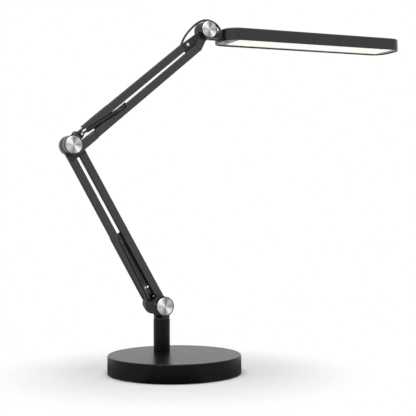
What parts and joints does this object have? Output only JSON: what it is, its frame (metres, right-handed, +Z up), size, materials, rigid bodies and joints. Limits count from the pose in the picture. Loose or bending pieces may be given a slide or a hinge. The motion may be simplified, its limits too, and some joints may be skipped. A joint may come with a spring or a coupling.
{
  "type": "led desk lamp",
  "caption": "Black LED desk lamp: flat bar head on two swing arms with friction hubs and tension springs, turning on a short post in a heavy round base.",
  "frame": {"origin": "centre of the base's underside, on the surface that the lamp stands on", "axes": "+Z up; the arms lie in a plane parallel to XZ; the head points along +X; the post stands behind the centre, on the +Y side"},
  "size_m": [0.6706, 0.22, 0.6014],
  "materials": {
    "black_painted_steel": "satin black powder coat",
    "black_coated_aluminium": "matt black coating on aluminium",
    "black_cast_aluminium": "black coating on fine castings",
    "spun_aluminium": "turned face, clear lacquer",
    "bright_steel": "bright machined steel",
    "black_oxide_steel": "black oxide",
    "cast_iron": "rough casting",
    "zinc_plated_plate": "zinc plated sheet",
    "black_rubber": "matt rubber",
    "bearing_nylon": "natural nylon",
    "friction_fibre": "pressed fibre",
    "black_lead": "soft black sheath",
    "black_moulding": "fine matt moulding",
    "grey_moulding": "satin dark grey moulding",
    "button_moulding": "satin moulding",
    "opal_acrylic": "satin opal",
    "white_circuit_board": "white solder mask",
    "green_circuit_board": "green solder mask",
    "phosphor": "yellow phosphor in silicone",
    "mill_aluminium": "mill finish sheet"
  },
  "bodies": {
    "base": {"base_cover": "black_painted_steel", "base_foot_ring": "black_rubber", "base_plate": "zinc_plated_plate", "base_weight": "cast_iron", "base_screws": "bright_steel", "power_inlet": "black_moulding", "post_stud": "bright_steel", "post_nut": "bright_steel", "post_plug": "bright_steel", "post_tube": "black_painted_steel", "swivel_bushes": "bearing_nylon"},
    "turret": {"spindle": "bright_steel", "spindle_clip": "bright_steel", "turret_bracket": "black_cast_aluminium", "turret_axle": "bright_steel", "turret_caps": "spun_aluminium", "turret_washers": "friction_fibre", "lower_spring_pin": "black_oxide_steel"},
    "lower_arm": {"lower_foot": "black_coated_aluminium", "lower_front_bar": "black_coated_aluminium", "lower_rear_bar": "black_coated_aluminium", "lower_web": "black_coated_aluminium", "lower_web_screws": "black_oxide_steel", "lower_spring": "black_oxide_steel", "lower_spring_ends": "black_oxide_steel", "elbow_housing": "black_cast_aluminium", "upper_spring_pin": "bright_steel", "lower_lead": "black_lead", "lower_lead_clips": "black_moulding", "turret_lead_loop": "black_lead"},
    "upper_arm": {"elbow_yoke": "black_coated_aluminium", "elbow_axle": "bright_steel", "elbow_caps": "spun_aluminium", "elbow_washers": "friction_fibre", "upper_bottom_bar": "black_coated_aluminium", "upper_top_bar": "black_coated_aluminium", "upper_web": "black_coated_aluminium", "upper_web_screws": "black_oxide_steel", "upper_spring": "black_oxide_steel", "upper_spring_ends": "black_oxide_steel", "upper_lead": "black_lead", "upper_lead_clips": "black_moulding", "elbow_lead_loop": "black_lead", "head_knuckle": "black_coated_aluminium", "knuckle_screws": "black_oxide_steel", "head_lead_loop": "black_lead"},
    "head": {"head_fork": "black_cast_aluminium", "head_axle": "bright_steel", "head_caps": "spun_aluminium", "head_washers": "friction_fibre", "head_grommet": "black_rubber", "head_cover": "black_moulding", "head_frame": "grey_moulding", "diffuser": "opal_acrylic", "led_board": "white_circuit_board", "led_chips": "phosphor", "heat_spreader": "mill_aluminium", "spreader_screws": "bright_steel", "switch_board": "green_circuit_board"},
    "power_button": {"power_button": "button_moulding"}
  },
  "joints": [
    {"name": "post_swivel", "type": "hinge", "parent": "base", "child": "turret", "pos_m": [0, 0.049, 0.084], "axis": [0, 0, 1], "range_deg": [-170, 170]},
    {"name": "lower_arm_tilt", "type": "hinge", "parent": "turret", "child": "lower_arm", "pos_m": [0, 0.049, 0.106], "axis": [0, 1, 0], "range_deg": [-20, 55], "deforming": ["lower_spring", "lower_spring_ends", "turret_lead_loop"]},
    {"name": "elbow", "type": "hinge", "parent": "lower_arm", "child": "upper_arm", "pos_m": [-0.16018, 0.049, 0.37258], "axis": [0, 1, 0], "range_deg": [-45, 25], "deforming": ["upper_spring", "upper_spring_ends", "elbow_lead_loop"]},
    {"name": "head_tilt", "type": "hinge", "parent": "upper_arm", "child": "head", "pos_m": [0.08649, 0.049, 0.57956], "axis": [0, 1, 0], "range_deg": [-40, 50], "deforming": ["head_lead_loop"]},
    {"name": "button_press", "type": "slide", "parent": "head", "child": "power_button", "axis": [-0.0297, 0, 0.9996], "range_m": [0, 0.0008], "stiffness_N_per_m": 800}
  ]
}
